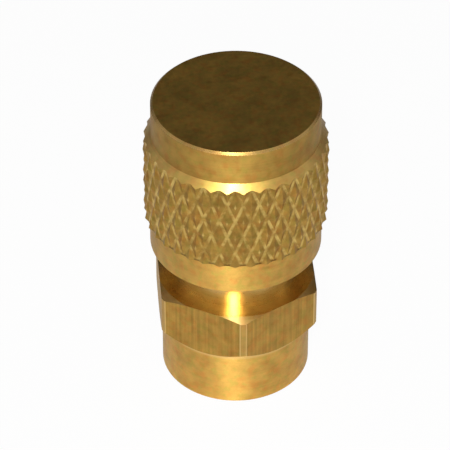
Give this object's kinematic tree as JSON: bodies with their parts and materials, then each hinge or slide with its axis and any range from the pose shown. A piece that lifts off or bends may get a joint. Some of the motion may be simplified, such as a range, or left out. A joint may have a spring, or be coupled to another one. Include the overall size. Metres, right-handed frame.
{
  "type": "refrigerant service valve",
  "caption": "Brass access valve: hexagon body with tube socket, male flare holding a spring-closed valve core, and a knurled screw cap with rubber seal.",
  "frame": {"origin": "centre of the base face, on the valve's axis", "axes": "+Z along the valve's axis towards the cap, Y through two corners of the hexagon, X across its flats"},
  "size_m": [0.0168, 0.0168, 0.03],
  "materials": {
    "body_brass": "turned and drawn, slightly tarnished",
    "cap_brass": "turned and knurled, slightly tarnished",
    "core_brass": "bright turned",
    "pin_brass": "bright drawn wire",
    "seal_rubber": "matt moulded",
    "collar_plastic": "smooth fluoropolymer",
    "spring_steel": "drawn stainless wire"
  },
  "bodies": {
    "valve": {"valve_body": "body_brass", "core_plug": "core_brass", "core_barrel": "core_brass", "barrel_seal": "collar_plastic", "core_spring": "spring_steel"},
    "cap_lifter": {"cap_seal": "seal_rubber"},
    "screw_cap": {"cap": "cap_brass"},
    "core_poppet": {"core_pin": "pin_brass", "seat_cup": "core_brass", "seat_washer": "seal_rubber"}
  },
  "joints": [
    {"name": "cap_lift", "type": "slide", "parent": "valve", "child": "cap_lifter", "axis": [0, 0, 1], "range_m": [0, 0.0089]},
    {"name": "cap_turn", "type": "hinge", "parent": "cap_lifter", "child": "screw_cap", "pos_m": [0, 0, 0.03], "axis": [0, 0, 1], "range_deg": [0, 2520]},
    {"name": "pin_press", "type": "slide", "parent": "valve", "child": "core_poppet", "axis": [0, 0, -1], "range_m": [0, 0.0013], "stiffness_N_per_m": 1500, "deforming": ["core_spring"]}
  ],
  "couplings": [
    {"joint": "cap_lift", "follows": "cap_turn", "m_per_rad": 0.00020213}
  ]
}
